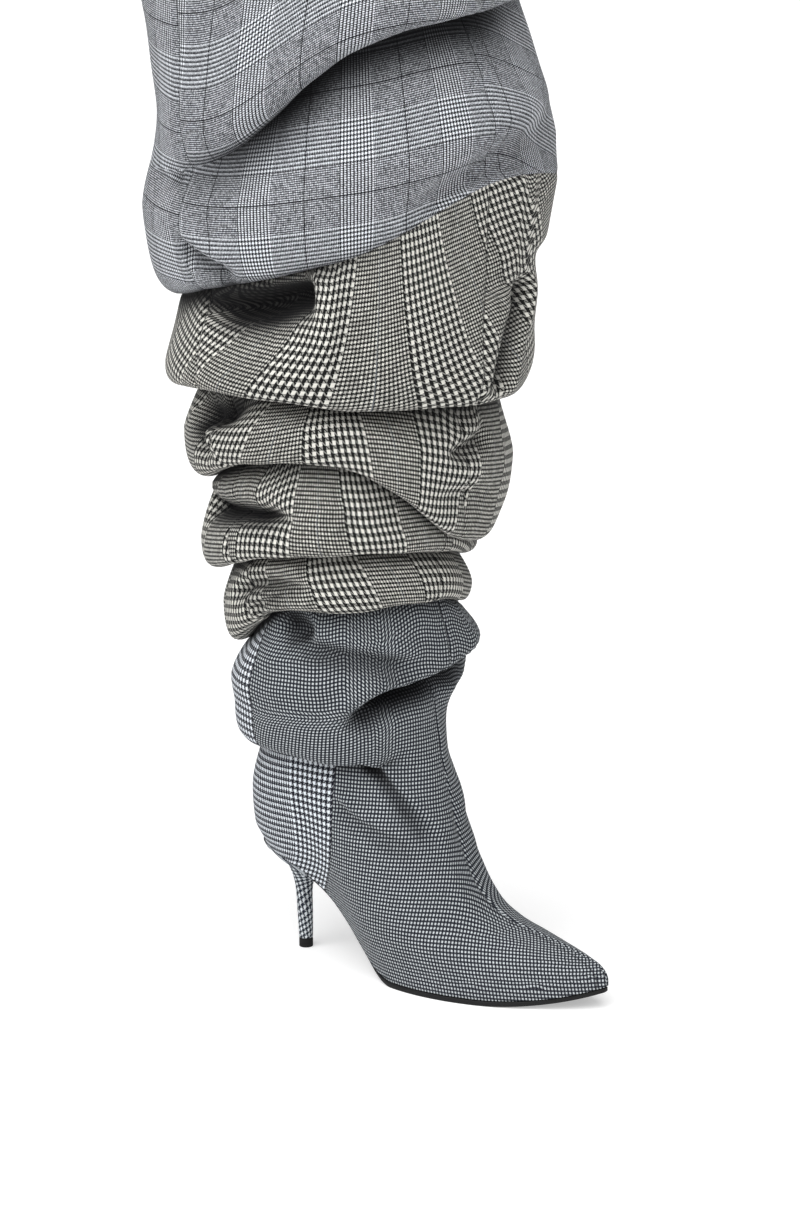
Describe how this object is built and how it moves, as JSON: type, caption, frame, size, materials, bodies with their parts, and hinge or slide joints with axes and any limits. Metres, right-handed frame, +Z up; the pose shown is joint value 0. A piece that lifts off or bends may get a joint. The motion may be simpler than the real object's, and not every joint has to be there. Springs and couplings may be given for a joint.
{
  "type": "thigh-high boot",
  "caption": "Pointed thigh-high boot of pieced checked cloth, its wide shaft slouched into soft rolls, on a slim cloth-covered heel and a thin black sole.",
  "frame": {"origin": "centre of the bounding box's bottom face, on the floor that the heel tip and the forefoot stand on", "axes": "+X toward the toe, +Z up the shaft, -Y the outer side of this right boot"},
  "size_m": [0.3193, 0.2525, 0.6482],
  "materials": {
    "shaft_top": "blue-grey glen check suiting cloth, lined",
    "shaft_middle": "cream and black glen check suiting cloth, lined",
    "upper": "navy and white houndstooth cloth, lined",
    "heel": "moulded plastic covered with check cloth",
    "heel_tip": "matte black",
    "outsole": "black, smooth, slightly waxed edge",
    "insole": "black sock on a fibre board"
  },
  "bodies": {
    "root": {"shaft_top": "shaft_top", "shaft_middle": "shaft_middle", "upper": "upper", "heel": "heel", "heel_tip": "heel_tip", "outsole": "outsole", "insole": "insole"}
  },
  "joints": []
}
